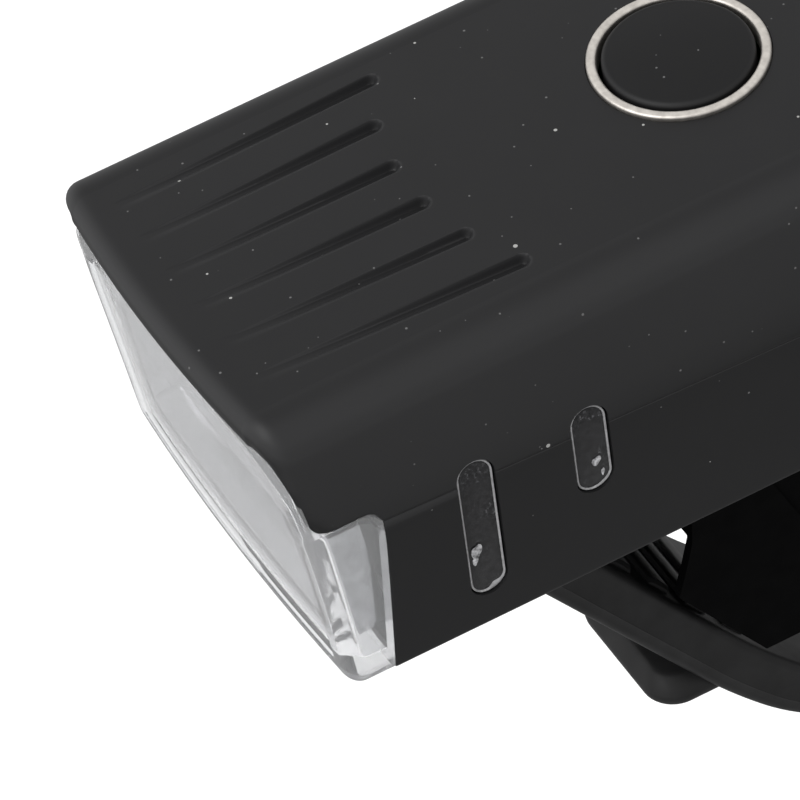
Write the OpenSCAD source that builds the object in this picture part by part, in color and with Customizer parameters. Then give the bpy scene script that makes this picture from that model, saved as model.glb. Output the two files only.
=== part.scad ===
// Bike headlight on a rubber-strap handlebar bracket, in millimetres.
// Origin on the handlebar axis. X across the light, +Y to the rear, Z up, beam along -Y.

/* [Body] */
// Body width across the parting line
body_w = 40; // [39.5:0.1:40.5]
// Underside of the light in its own frame
body_bottom = 21.2; // [21:0.1:21.4]
// Flat top of the light in its own frame
body_top = 51.6; // [51.4:0.1:51.8]
// Rear end of the light in its own frame
body_rear = 39; // [38.8:0.1:40]
// Front of the hood on the centre line, in the light's own frame
hood_front = -62.7; // [-63:0.1:-62]
// Height of the joint between the two shells
parting = 37.7; // [37.4:0.1:38]
// Wall thickness of the shells
wall = 2; // [1.9:0.1:2.1]

/* [Lens] */
// Rear edge of the lens on the sides
lens_rear = -53.9; // [-54.2:0.1:-53.6]
// Lens thickness
lens_t = 1.8; // [1.6:0.1:2]
// Backward lean of the lens face in degrees
lens_rake = 3.4; // [3:0.1:4]
// Plan radius of the lens face
lens_r = 300; // [280:1:320]

/* [Windows] */
// Width of the side windows
win_w = 3.2; // [3:0.1:3.4]
// Length of the long side window
win_long = 15.2; // [14.8:0.1:15.4]
// Length of the short side window
win_short = 9.3; // [9:0.1:9.5]
// Top of both side windows
win_top = 40.3; // [40:0.1:40.4]

/* [Button] */
// Button position along the body
btn_y = -14; // [-15:0.5:-13]
// Outer radius of the metal ring
ring_r = 7.5; // [7.3:0.1:7.6]
// Inner radius of the metal ring
ring_ri = 6.6; // [6.5:0.05:6.7]
// Button travel
btn_travel = 0.5; // [0.3:0.1:0.5]

/* [Grooves] */
// Spacing of the grip grooves
groove_pitch = 5.05; // [4.9:0.05:5.2]
// Depth of a groove at its rear end
groove_d = 0.9; // [0.6:0.05:1]
// Distance of the groove ends from the button centre
groove_r = 24.3; // [24:0.1:25]

/* [Bracket] */
// Handlebar radius
bar_r = 15.9; // [15.8:0.05:15.95]
// Thickness of the saddle pad
pad_t = 2.15; // [2.05:0.05:2.2]
// Half-width of the saddle block
saddle_hw = 11.5; // [11.2:0.1:12]
// Sliding clearance of the rail
rail_gap = 0.3; // [0.3:0.05:0.4]

/* [Strap] */
// Strap width
strap_w = 17; // [16.5:0.1:17.5]
// Strap thickness
strap_t = 4.8; // [4.6:0.1:4.9]
// Radius of the strap pin
pin_r = 1.5; // [1.45:0.05:1.6]

/* [Hidden] */
$fn = 64;
hw = body_w / 2;
fine = 160;
// top of the rail shoe, where the light sits, and the light's place on the bracket
seat = 22.5;
head_at = [0, -5, seat - body_bottom];
// strap pin position
sp_y = 24;
sp_z = 8.7;
// release lever pin position
lp_y = 22;
lp_z = 17.3;
// flap hinge position in the light's frame
fp_y = body_rear - 0.9;
fp_z = 25.6;
// battery axis height
cell_r = 9.1;
cell_z = 34.1;
board_z = 43.7;
light_z = 36;
boss_x = 14.6;
boss_y = [-24, 30];
shoe_y = [-24, 6];

function unit(v) = v / norm(v);
// points of a convex polygon with rounded corners, s steps per corner
function rp(p, r, s = 6) =
    let (n = len(p))
    [for (i = [0 : n - 1])
        let (a = unit(p[(i + n - 1) % n] - p[i]),
             b = unit(p[(i + 1) % n] - p[i]),
             h = acos(a * b) / 2,
             c = p[i] + unit(a + b) * r[i] / sin(h),
             t0 = p[i] + a * r[i] / tan(h) - c,
             sw = 180 - 2 * h)
        each (r[i] == 0 ? [p[i]] :
            [for (k = [0 : s]) let (w = sw * k / s) c + [t0[0] * cos(w) - t0[1] * sin(w), t0[0] * sin(w) + t0[1] * cos(w)]])];
function back(p) = [for (k = [len(p) - 1 : -1 : 0]) p[k]];

module yext(y0, y1) translate([0, y1, 0]) rotate([90, 0, 0]) linear_extrude(y1 - y0) children();
module xext(x0, x1) translate([x0, 0, 0]) rotate([90, 0, 90]) linear_extrude(x1 - x0) children();
module zext(z0, z1) translate([0, 0, z0]) linear_extrude(z1 - z0) children();
module box(a, b) translate(a) cube(b - a);
module xcyl(y, z, r, x0, x1) translate([x0, y, z]) rotate([0, 90, 0]) cylinder(r = r, h = x1 - x0);
module ycyl(x, z, r, y0, y1) translate([x, y1, z]) rotate([90, 0, 0]) cylinder(r = r, h = y1 - y0);
module zcyl(x, y, r, z0, z1) translate([x, y, z0]) cylinder(r = r, h = z1 - z0);
module on_head() translate(head_at) children();

// outer and inner section of the body across X and Z; d shrinks it
module section(d = 0)
    polygon(rp([[-hw + 0.8 + d, body_bottom + d], [hw - 0.8 - d, body_bottom + d], [hw + 0.16 - d, 38.2], [hw - 1.6 - d, body_top - d],
        [-hw + 1.6 + d, body_top - d], [-hw - 0.16 + d, 38.2]], [max(0.6, 0.8 + d * 0.2), max(0.6, 0.8 + d * 0.2), 40, 4.2 - d * 0.6, 4.2 - d * 0.6, 40]));
// plan of the shells; d shrinks it
module plan(d = 0)
    polygon(concat(
        [for (k = [-8 : 8]) let (x = (hw - d) * k / 8) [x, hood_front + d + 1.6 * pow(k / 8, 2)]],
        rp([[hw - d, 0], [hw - d, body_rear - d], [-hw + d, body_rear - d], [-hw + d, 0]], [0, 8 - d * 0.8, 8 - d * 0.8, 0])));
// side view of the shells with a rounded rear end; d shrinks it
module side(d = 0) xext(-40, 40)
    polygon(rp([[hood_front - 6, body_bottom + d], [body_rear - d, body_bottom + d], [body_rear - d, body_top - d], [hood_front - 6, body_top - d]],
        [0, 3 - d * 0.6, 6 - d * 0.6, 0]));
module envelope(d = 0) intersection() {
    yext(hood_front - 1, body_rear + 1) section(d);
    zext(body_bottom - 1, body_top + 1) plan(d);
    side(d);
}
// inner room of the shells, open to the front
module rear_room() intersection() {
    yext(hood_front - 4, body_rear) section(wall);
    side(wall);
    union() {
        zext(body_bottom, body_top) plan(wall);
        box([-30, hood_front - 4, 0], [30, -20, 90]);
    }
}
module stadium(len, w) {
    translate([0, -(len - w) / 2]) circle(r = w / 2);
    translate([0, (len - w) / 2]) circle(r = w / 2);
    square([w, len - w], center = true);
}
module windows(y, len, w, x0, x1)
    for (m = [0, 1]) mirror([m, 0, 0]) translate([0, y, win_top - len / 2]) xext(x0, x1) stadium(len + w - win_w, w);
module window_cuts() {
    windows(-45.4, win_long, win_w + 0.1, wall + 10, hw + 5);
    windows(-35.1, win_short, win_w + 0.1, wall + 10, hw + 5);
}
module lens_face(d = 0) translate([0, -58.9 + d, body_bottom]) rotate([lens_rake, 0, 0])
    translate([0, lens_r, -10]) cylinder(r = lens_r, h = 60, $fn = fine);
// side view of the hood edge: swept-back cheek, level lower edge, filleted into the lens rear edge
module hood_cut(d = 0) xext(-40, 40)
    polygon([[-80, 46.6 - d], [-62.5, 46.6 - d], [-60.3, 42.7 - d], [-59, 40.1 - d], [lens_rear - 0.9 + d, 40.1 - d],
        [lens_rear + d, 39.2 - d], [lens_rear + d, 0], [-80, 0]]);

module grooves()
    for (k = [-2.5 : 1 : 2.5]) {
        x = k * groove_pitch;
        y = btn_y - sqrt(pow(groove_r, 2) - x * x);
        translate([x, y, body_top + 1.5 - groove_d]) {
            sphere(r = 1.5);
            rotate([90 - atan(groove_d / (y - hood_front - 2.5)), 0, 0]) cylinder(r = 1.5, h = y - hood_front);
        }
    }
module bosses(r, z0, z1) for (x = [-boss_x, boss_x], y = boss_y) zcyl(x, y, r, z0, z1);
module stand_offs(r, z0, z1) for (x = [-8, 8], y = [-27, 18]) zcyl(x, y, r, z0, z1);

module top_cover() color([0.05, 0.05, 0.055]) on_head() difference() {
    union() {
        difference() {
            intersection() {
                envelope();
                box([-40, -90, parting], [40, 60, 90]);
            }
            rear_room();
        }
        intersection() {
            union() {
                bosses(2.6, parting + 0.1, body_top - 1);
                stand_offs(1.9, board_z + 1.2, body_top - 1);
            }
            envelope(0.6);
        }
    }
    hood_cut();
    grooves();
    window_cuts();
    zcyl(0, btn_y, ring_r + 0.03, 50.2, 60);
    zcyl(0, btn_y, ring_ri + 0.1, 40, 60);
    bosses(1.15, parting - 1, 45);
    stand_offs(0.85, board_z, 48.6);
}

module lower_housing() color([0.045, 0.045, 0.05]) on_head() difference() {
    union() {
        difference() {
            intersection() {
                envelope();
                box([-40, lens_rear, 0], [40, 60, parting]);
            }
            rear_room();
        }
        intersection() {
            union() {
                bosses(2.6, body_bottom + 1, parting - 0.1);
                box([-9.4, body_rear - 4, body_bottom + 1], [9.4, body_rear - 1, 36]);
                box([-6, body_rear - 8.5, body_bottom + 1], [6, body_rear - 1, 26.8]);
            }
            envelope(0.4);
        }
    }
    window_cuts();
    bosses(1.3, 0, parting + 1);
    bosses(2.3, 0, body_bottom + 3.5);
    // flap recess, port opening and flap hinge
    box([-7.2, body_rear - 1.1, 24.3], [7.2, body_rear + 1, 34]);
    xcyl(fp_y, fp_z, 1.25, -7.2, 7.2);
    xcyl(fp_y, fp_z, 0.55, -8.5, 8.5);
    box([-5.2, body_rear - 5, 27.4], [5.2, body_rear + 1, 31.8]);
    // gasket groove
    gasket_ring(0.05);
    translate(-head_at) for (x = [-3, 3], y = shoe_y) zcyl(x, y, 1.05, 10, 25.4);
}
module gasket_ring(g = 0) difference() {
    zext(parting - 0.8 - g, parting + g) difference() {
        plan(0.7 - g);
        plan(1.3 + g);
    }
    box([-40, -90, 0], [40, -33 - g, 90]);
}
module body_gasket() color([0.12, 0.12, 0.12]) on_head() gasket_ring();

module lens_outer(d = 0) intersection() {
    union() {
        // part flush with the body, below the hood
        intersection() {
            yext(-70, lens_rear - 0.05) section(0.05 + d);
            hood_cut(0.1 + d);
        }
        // part under the hood and the flange inside the shells
        yext(-70, lens_rear + 2) section(wall + 0.1 + d);
    }
    lens_face(d);
}
module front_lens() color([0.85, 0.87, 0.88, 0.45]) on_head() difference() {
    lens_outer();
    intersection() {
        yext(-70, -40) section(wall + 0.1 + lens_t);
        lens_face(lens_t);
    }
    // room behind the side walls
    intersection() {
        yext(-70, lens_rear - 0.7) section(lens_t);
        hood_cut(1.6 + lens_t);
        lens_face(lens_t);
    }
}
module lens_gasket() color([0.15, 0.15, 0.15]) on_head() difference() {
    yext(lens_rear + 2, lens_rear + 3) section(wall + 0.1);
    yext(lens_rear + 1, lens_rear + 4) section(wall + 0.1 + lens_t);
}

module bowl() translate([0, -42.6, light_z]) rotate([90, 0, 0]) rotate_extrude($fn = 72)
    polygon(concat([[0, -1], [2.9, -1]], [for (k = [0 : 10]) let (r = 2.9 + k * 1.06) [r, r * r / 13 - 0.5]], [[0, 13.4]]));
module reflector() color([0.93, 0.93, 0.93]) on_head() difference() {
    intersection() {
        union() {
            yext(-60, -42) polygon(rp([[-14.2, 26.8], [14.2, 26.8], [14.2, 44.8], [-14.2, 44.8]], [2, 2, 2, 2]));
            // front flange behind the clear sides
            yext(-58, -54.9) polygon(rp([[-16.9, 23.8], [16.9, 23.8], [16.9, 36.2], [-16.9, 36.2]], [1.5, 1.5, 1.5, 1.5]));
        }
        lens_face(lens_t + 0.6);
    }
    bowl();
    yext(-60, -53.5) polygon(rp([[-13.4, 27.6], [13.4, 27.6], [13.4, 44], [-13.4, 44]], [1.5, 1.5, 1.5, 1.5]));
}
module led_board() color([0.9, 0.9, 0.88]) on_head() yext(-41.95, -40.4)
    polygon(rp([[-10, 27], [10, 27], [10, 45], [-10, 45]], [1, 1, 1, 1], 3));
module led_emitter() color([0.98, 0.9, 0.55]) on_head() translate([0, 0, light_z]) {
    box([-1.9, -42.7, -1.9], [1.9, -41.95, 1.9]);
    intersection() {
        translate([0, -42.7, 0]) sphere(r = 1.5);
        box([-3, -46, -3], [3, -42.6, 3]);
    }
}
module heat_sink() color([0.7, 0.71, 0.73]) on_head() difference() {
    box([-13, -40.4, 25.6], [13, -32.6, 46]);
    for (k = [-4 : 4]) box([k * 2.8 - 0.8, -38.2, 20], [k * 2.8 + 0.8, -30, 50]);
}

module side_windows_long() color([0.85, 0.87, 0.88, 0.5]) on_head() intersection() {
    windows(-45.4, win_long, win_w, hw - 3, hw + 2);
    envelope(0.02);
}
module side_windows_short() color([0.85, 0.87, 0.88, 0.5]) on_head() intersection() {
    windows(-35.1, win_short, win_w, hw - 3, hw + 2);
    envelope(0.02);
}

module button_ring() color([0.78, 0.75, 0.71]) on_head() translate([0, btn_y, 0]) difference() {
    cylinder(r = ring_r, h = 52);
    translate([0, 0, -1]) cylinder(r = ring_r + 5, h = 51.2);
    translate([0, 0, -1]) cylinder(r = ring_ri, h = 60);
    translate([0, 0, 51.7]) cylinder(r1 = ring_ri, r2 = ring_ri + 0.3, h = 0.3);
}
module button_cap() color([0.04, 0.04, 0.042]) on_head() translate([0, btn_y, 0]) {
    intersection() {
        translate([0, 0, 49.1]) cylinder(r = ring_ri - 0.33, h = 6);
        translate([0, 0, 52.5 - 45]) sphere(r = 45, $fn = fine);
    }
    translate([0, 0, 48.4]) cylinder(r = 7.3, h = 0.75);
    translate([0, 0, 48]) cylinder(r = 2, h = 0.5);
}
module button_seal() color([0.2, 0.2, 0.2]) on_head() translate([0, btn_y, 48.7]) difference() {
    cylinder(r = 9.2, h = body_top - wall - 48.7);
    translate([0, 0, -1]) cylinder(r = 7.7, h = 4);
}
module tact_switch() color([0.2, 0.2, 0.21]) on_head() translate([0, btn_y, board_z + 1.2]) difference() {
    box([-3, -3, 0], [3, 3, 1.9]);
    translate([0, 0, -1]) cylinder(r = 1.65, h = 6);
}
module switch_plunger() color([0.85, 0.8, 0.7]) on_head() zcyl(0, btn_y, 1.6, 45.8, 47.7);
module main_board() color([0.1, 0.32, 0.16]) on_head() difference() {
    zext(board_z, board_z + 1.2) polygon(rp([[-11, -31], [11, -31], [11, 24], [-11, 24]], [1, 1, 1, 1], 3));
    stand_offs(1.05, 0, 60);
}
module board_screws() color([0.7, 0.7, 0.72]) on_head() {
    stand_offs(0.8, board_z - 0.1, 48.4);
    stand_offs(1.6, board_z - 0.9, board_z);
}
module battery_cell() color([0.2, 0.35, 0.6]) on_head() {
    ycyl(0, cell_z, cell_r, -26, 23);
    ycyl(0, cell_z, 3, -27, -25.9);
}
module battery_cradle() color([0.16, 0.16, 0.17]) on_head() difference() {
    box([-10.8, -28.6, body_bottom + wall], [10.8, 25, 32]);
    ycyl(0, cell_z, cell_r + 0.1, -26.1, 23.1);
    ycyl(0, cell_z, 3.2, -27.2, -25);
    for (y = [-14, 10]) box([-20, y - 6, 27], [20, y + 6, 40]);
    // room over the shoe screws
    translate(-head_at) for (x = [-3, 3], y = shoe_y) zcyl(x, y, 1.4, 10, 26);
}
module usb_board() color([0.1, 0.32, 0.16]) on_head() box([-6, body_rear - 8.7, 26.8], [6, body_rear - 4.05, 28]);
module usb_port() color([0.75, 0.75, 0.77]) on_head() difference() {
    yext(body_rear - 8.4, body_rear - 2.2) polygon(rp([[-4.5, 28], [4.5, 28], [4.5, 31.2], [-4.5, 31.2]], [1.3, 1.3, 1.3, 1.3]));
    yext(body_rear - 7.4, body_rear) polygon(rp([[-4.15, 28.35], [4.15, 28.35], [4.15, 30.85], [-4.15, 30.85]], [1.1, 1.1, 1.1, 1.1]));
}
module usb_cover() color([0.06, 0.06, 0.06]) on_head() difference() {
    union() {
        box([-6.8, fp_y + 0.05, fp_z], [6.8, body_rear - 0.05, 33.6]);
        box([-4.2, fp_y - 0.7, 28.4], [4.2, fp_y + 0.1, 30.8]);
        xcyl(fp_y, fp_z, 0.9, -6.8, 6.8);
        box([-2.5, fp_y + 0.05, 33.6], [2.5, body_rear - 0.05, 33.7]);
    }
    xcyl(fp_y, fp_z, 0.56, -7, 7);
}
module usb_hinge_pin() color([0.7, 0.7, 0.72]) on_head() xcyl(fp_y, fp_z, 0.5, -8.4, 8.4);
module housing_screws() color([0.55, 0.55, 0.57]) on_head() for (x = [-boss_x, boss_x], y = boss_y) difference() {
    union() {
        zcyl(x, y, 1.1, body_bottom + 3, 44.5);
        zcyl(x, y, 2.1, body_bottom + 1.6, body_bottom + 3.5);
    }
    translate([x, y, 0]) cylinder(r = 1, h = body_bottom + 2.6, $fn = 6);
}
module slide_shoe() color([0.1, 0.1, 0.105]) difference() {
    union() {
        box([-5, -30, 20.6], [5, 18, seat]);
        box([-7.5, -30, 19.2], [7.5, 18, 20.6]);
    }
    box([-1.8, 13.9, 18], [1.8, 19, 20.2]);
    for (x = [-3, 3], y = shoe_y) {
        zcyl(x, y, 1.05, 18, 25);
        zcyl(x, y, 1.9, 18, 20.6);
    }
}
module shoe_screws() color([0.7, 0.7, 0.72]) for (x = [-3, 3], y = shoe_y) difference() {
    union() {
        zcyl(x, y, 1, 20, seat + 1.7);
        zcyl(x, y, 1.8, 19.4, 20.6);
    }
    translate([x, y, 18]) cylinder(r = 0.8, h = 2.2, $fn = 6);
}

module bracket_base() color([0.03, 0.03, 0.032]) difference() {
    union() {
        box([-10, -51, 17.3], [10, -28, 22.2]);
        box([-saddle_hw, -28.5, 11.5], [saddle_hw, 19.4, 22.2]);
        // deep front toe behind the strap
        xext(-saddle_hw, saddle_hw) polygon([[-12, 20], [-28.5, 20], [-28.4, 14], [-27.6, 11.4], [-21, -4.7], [-12, -4.7]]);
        box([-10, 19, 14], [10, 27, 22.2]);
        for (m = [0, 1]) mirror([m, 0, 0]) {
            xext(6.3, 10) polygon([[16, 20], [27, 20], [28.1, 8.7], [19.9, 8.7]]);
            xcyl(sp_y, sp_z, 4.1, 6.3, 10);
        }
        // guide cheeks on both sides of the strap
        for (m = [0, 1]) mirror([m, 0, 0]) xext(saddle_hw - 0.9, saddle_hw)
            polygon([[-15, 20], [-28.5, 20], [-28.5, 14], [-28.7, 11.7], [-29.5, 9.1], [-30.5, 6.2], [-23.1, -4.7], [-15, -4.7]]);
        // strap peg
        zcyl(0, -46, 1.8, 12.6, 18);
    }
    // pad seat
    xcyl(0, 0, bar_r + pad_t + 0.05, -20, 20);
    // rail channel
    box([-5 - rail_gap, -55, 20], [5 + rail_gap, 18.4, 30]);
    box([-7.5 - rail_gap, -55, 19.2 - rail_gap], [7.5 + rail_gap, 18.4, 20.6 + rail_gap]);
    // shallow recess on both sides
    for (m = [0, 1]) mirror([m, 0, 0]) xext(saddle_hw - 0.4, saddle_hw + 1) polygon([[-21.6, 16.2], [-14, -2], [14, -2], [18.4, 16.2]]);
    // room of the release lever
    box([-4.4, 13.6, 14.8], [4.4, 30, 22.4]);
    box([-6.2, 24.8, 14.8], [6.2, 30, 22.4]);
    xcyl(lp_y, lp_z, 1.2, -8, 8);
    // strap pin
    xcyl(sp_y, sp_z, pin_r, -20, 20);
    // free room of the strap eye
    box([-6.3, 19.5, 0], [6.3, 40, 13.9]);
}
module saddle_pad() color([0.06, 0.06, 0.06]) intersection() {
    difference() {
        xcyl(0, 0, bar_r + pad_t, -10.5, 10.5, $fn = fine);
        xcyl(0, 0, bar_r, -11, 11, $fn = fine);
    }
    xext(-12, 12) polygon([[0, 0], [40 * sin(58), 40 * cos(58)], [40, 60], [-60, 60], [-60, -10]]);
}
// side view of the strap: hooked end, straight front run, slack bend, hoop to the pin
run_a = -55;
bend_a = -48;
bend_r = 70;
function left(h) = [-sin(h), cos(h)];
run_end = [-26.03, -7.08];
bend_c = run_end + bend_r * left(run_a);
hoop_p = bend_c - bend_r * left(bend_a);
pin_d = [sp_y, sp_z] - hoop_p;
hoop_r = pin_d * pin_d / (2 * pin_d * left(bend_a));
hoop_c = hoop_p + hoop_r * left(bend_a);
function on_run(t, z) = let (s = run_end - t * left(run_a)) s + [cos(run_a), sin(run_a)] * (z - s[1]) / sin(run_a);
function bend(t) = [for (k = [0 : 5]) bend_c - (bend_r + t) * left(run_a + (bend_a - run_a) * k / 6)];
function hoop(t, h0, h1, n) = [for (k = [0 : n]) hoop_c - (hoop_r + t) * left(h0 + (h1 - h0) * k / n)];
module strap_side() polygon(concat(
    [[-51, 17], [-51, 14], on_run(strap_t / 2, 14)],
    bend(strap_t / 2), hoop(strap_t / 2, bend_a, 65, 28),
    back(hoop(-strap_t / 2, bend_a, 65, 28)), back(bend(-strap_t / 2)),
    [on_run(-strap_t / 2, 17)]));
module strap() color([0.035, 0.035, 0.036]) difference() {
    union() {
        xext(-strap_w / 2, strap_w / 2) strap_side();
        // narrow run to the pin eye
        xext(-5.9, 5.9) polygon(concat(hoop(1.6, 58, 100, 12), back(hoop(-1.6, 58, 100, 12))));
        xcyl(sp_y, sp_z, 4, -5.9, 5.9);
        // pull tab
        zext(-11.3, -8.7) polygon(rp([[-7.8, -31.9], [7.8, -31.9], [7.8, -24.5], [-7.8, -24.5]], [3, 3, 0, 0]));
        // cross ribs on the inner face
        xext(-7, 7) for (k = [0 : 4]) let (q = on_run(-strap_t / 2, 13.5 - k * 4.5), d = [cos(run_a), sin(run_a)], n = left(run_a))
            polygon([q - n, q + 0.6 * n, q + 0.6 * n + 3 * d, q - n + 3 * d]);
    }
    // peg slot
    zext(12, 18) translate([0, -46.3]) stadium(6, 4.6);
    xcyl(sp_y, sp_z, pin_r + 0.05, -20, 20);
}
module strap_pin() color([0.7, 0.7, 0.72]) xcyl(sp_y, sp_z, pin_r - 0.01, -10, 10);
module release_lever() color([0.08, 0.08, 0.082]) difference() {
    union() {
        box([-4, 14.4, 16.4], [4, 27, 18.2]);
        box([-5.8, 26, 16.4], [5.8, 35, 18.2]);
        box([-1.4, 14.4, 18], [1.4, 16, 19.85]);
        xcyl(lp_y, lp_z, 2.3, -4, 4);
        box([-5.8, 33.6, 15.4], [5.8, 35, 18.2]);
    }
    xcyl(lp_y, lp_z, 1.25, -9, 9);
}
module lever_pin() color([0.7, 0.7, 0.72]) xcyl(lp_y, lp_z, 1.19, -7.9, 7.9);

top_cover();
lower_housing();
body_gasket();
front_lens();
lens_gasket();
reflector();
led_board();
led_emitter();
heat_sink();
side_windows_long();
side_windows_short();
button_ring();
button_cap();
button_seal();
tact_switch();
switch_plunger();
main_board();
board_screws();
battery_cell();
battery_cradle();
usb_board();
usb_port();
usb_cover();
usb_hinge_pin();
housing_screws();
slide_shoe();
shoe_screws();
bracket_base();
saddle_pad();
strap();
strap_pin();
release_lever();
lever_pin();
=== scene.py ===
"""Bike headlight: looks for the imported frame. Metres, +Y to the rear, beam along -Y, Z up."""
import math
import bpy
import bmesh
import numpy as np
from mathutils import Matrix, Vector


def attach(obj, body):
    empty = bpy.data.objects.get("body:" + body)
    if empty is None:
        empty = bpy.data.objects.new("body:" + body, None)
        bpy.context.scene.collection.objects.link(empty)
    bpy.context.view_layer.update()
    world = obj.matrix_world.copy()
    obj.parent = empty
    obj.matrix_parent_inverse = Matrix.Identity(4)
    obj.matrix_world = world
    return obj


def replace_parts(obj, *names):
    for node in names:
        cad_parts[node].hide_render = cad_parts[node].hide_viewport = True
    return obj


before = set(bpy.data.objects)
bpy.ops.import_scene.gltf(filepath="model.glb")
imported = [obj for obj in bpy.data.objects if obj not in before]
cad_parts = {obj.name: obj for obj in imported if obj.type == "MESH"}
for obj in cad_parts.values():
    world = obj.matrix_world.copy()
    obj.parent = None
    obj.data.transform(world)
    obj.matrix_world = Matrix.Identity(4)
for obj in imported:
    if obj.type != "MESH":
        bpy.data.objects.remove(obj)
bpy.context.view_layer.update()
MM = 0.001
scene = bpy.context.scene


# ---------------------------------------------------------------- materials
class Nodes:
    """A small builder for one node material."""

    def __init__(self, name):
        self.mat = bpy.data.materials.new(name)
        self.mat.use_nodes = True
        self.t = self.mat.node_tree
        self.bsdf = next(n for n in self.t.nodes if n.type == "BSDF_PRINCIPLED")
        self.out = next(n for n in self.t.nodes if n.type == "OUTPUT_MATERIAL")
        self.co = self.add("ShaderNodeTexCoord").outputs["Object"]

    def add(self, kind, **props):
        n = self.t.nodes.new(kind)
        for k, v in props.items():
            setattr(n, k, v)
        return n

    def link(self, a, b):
        self.t.links.new(a, b)

    def scaled(self, s):
        m = self.add("ShaderNodeMapping")
        m.inputs["Scale"].default_value = s
        self.link(self.co, m.inputs["Vector"])
        return m.outputs["Vector"]

    def noise(self, scale, detail=3.0, rough=0.55, vec=None):
        n = self.add("ShaderNodeTexNoise")
        n.inputs["Scale"].default_value = scale
        n.inputs["Detail"].default_value = detail
        n.inputs["Roughness"].default_value = rough
        self.link(vec or self.co, n.inputs["Vector"])
        return n.outputs["Fac"]

    def ramp(self, fac, stops):
        r = self.add("ShaderNodeValToRGB")
        e = r.color_ramp.elements
        while len(e) < len(stops):
            e.new(0.5)
        for el, (p, c) in zip(e, stops):
            el.position = p
            el.color = (*c, 1.0) if len(c) == 3 else c
        self.link(fac, r.inputs["Fac"])
        return r.outputs["Color"]

    def math(self, op, a, b=None, clamp=False):
        m = self.add("ShaderNodeMath", operation=op, use_clamp=clamp)
        for i, v in enumerate((a, b)):
            if v is None:
                continue
            if isinstance(v, (int, float)):
                m.inputs[i].default_value = v
            else:
                self.link(v, m.inputs[i])
        return m.outputs[0]

    def map(self, fac, lo, hi, a=0.0, b=1.0):
        m = self.add("ShaderNodeMapRange")
        m.inputs["From Min"].default_value = a
        m.inputs["From Max"].default_value = b
        m.inputs["To Min"].default_value = lo
        m.inputs["To Max"].default_value = hi
        self.link(fac, m.inputs["Value"])
        return m.outputs[0]

    def mix(self, fac, a, b):
        m = self.add("ShaderNodeMix", data_type="RGBA")
        self.link(fac, m.inputs[0])
        for i, v in ((6, a), (7, b)):
            if isinstance(v, tuple):
                m.inputs[i].default_value = (*v, 1.0)
            else:
                self.link(v, m.inputs[i])
        return m.outputs[2]

    def bump(self, height, strength, distance, normal=None):
        b = self.add("ShaderNodeBump")
        b.inputs["Strength"].default_value = strength
        b.inputs["Distance"].default_value = distance
        self.link(height, b.inputs["Height"])
        if normal is not None:
            self.link(normal, b.inputs["Normal"])
        return b.outputs["Normal"]

    def set(self, **v):
        for k, x in v.items():
            self.bsdf.inputs[k.replace("_", " ")].default_value = x


def shade(c, f):
    return tuple(min(1.0, x * f) for x in c)


def dust(n, cell, keep, size):
    """Mask of small bright specks scattered over the surface."""
    v = n.add("ShaderNodeTexVoronoi")
    v.inputs["Scale"].default_value = cell
    n.link(n.co, v.inputs["Vector"])
    s = n.add("ShaderNodeSeparateColor")
    n.link(v.outputs["Color"], s.inputs[0])
    chosen = n.math("GREATER_THAN", s.outputs[0], 1.0 - keep)
    radius = n.map(s.outputs[1], 0.35 * size, size)
    inside = n.math("LESS_THAN", v.outputs["Distance"], radius)
    return n.math("MULTIPLY", chosen, inside)


def plain(name, color, rough, metallic=0.0, spec=0.5, var=0.15, scale=500.0, grain=4000.0, bump=0.08, rvar=0.08):
    """Moulded or plated surface with mottling, varying gloss and a fine grain."""
    n = Nodes(name)
    f = n.noise(scale, 4.0)
    n.link(n.ramp(f, [(0.3, shade(color, 1 - var)), (0.7, shade(color, 1 + var))]), n.bsdf.inputs["Base Color"])
    n.link(n.map(n.noise(scale * 2.3, 3.0), rough - rvar, rough + rvar), n.bsdf.inputs["Roughness"])
    n.link(n.bump(n.noise(grain, 2.0), bump, 0.00003), n.bsdf.inputs["Normal"])
    n.set(Metallic=metallic)
    n.set(**{"Specular_IOR_Level": spec})
    return n


def soft_touch(name, color, rough=0.5, spec=0.3, specks=0.4):
    n = Nodes(name)
    f = n.noise(90.0, 4.0, 0.6)
    # painted highlight and shade: the base colour is set by the slope of the surface, lighter on the shoulders and
    # darker on the sides, the underside and the flat top; the specular level also follows the slope and is highest on
    # the shoulders
    nrm = n.add("ShaderNodeSeparateXYZ")
    n.link(n.add("ShaderNodeNewGeometry").outputs["Normal"], nrm.inputs[0])
    slope_light = ((0.0, 0.70), (0.12, 0.98), (0.3, 1.14), (0.6, 1.12), (0.85, 0.96), (1.0, 0.75))
    base = n.mix(f, n.ramp(nrm.outputs[2], [(p, shade(color, 0.92 * k)) for p, k in slope_light]),
                 n.ramp(nrm.outputs[2], [(p, shade(color, 1.08 * k)) for p, k in slope_light]))
    gloss = n.ramp(nrm.outputs[2], [(p, (k * spec,) * 3) for p, k in ((0.0, 1.35), (0.12, 2.0), (0.3, 2.5), (0.6, 2.1), (0.85, 1.4), (1.0, 0.90))])
    n.link(gloss, n.bsdf.inputs["Specular IOR Level"])
    m = dust(n, 300.0, specks, 0.06)
    fine = dust(n, 700.0, specks * 0.7, 0.08)
    base = n.mix(m, base, (0.30, 0.30, 0.29))
    base = n.mix(fine, base, (0.10, 0.10, 0.10))
    n.link(base, n.bsdf.inputs["Base Color"])
    n.link(n.map(n.noise(160.0, 3.0), rough - 0.04, rough + 0.05), n.bsdf.inputs["Roughness"])
    n.link(n.bump(n.noise(9000.0, 2.0), 0.10, 0.00002), n.bsdf.inputs["Normal"])
    return n.mat


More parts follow.
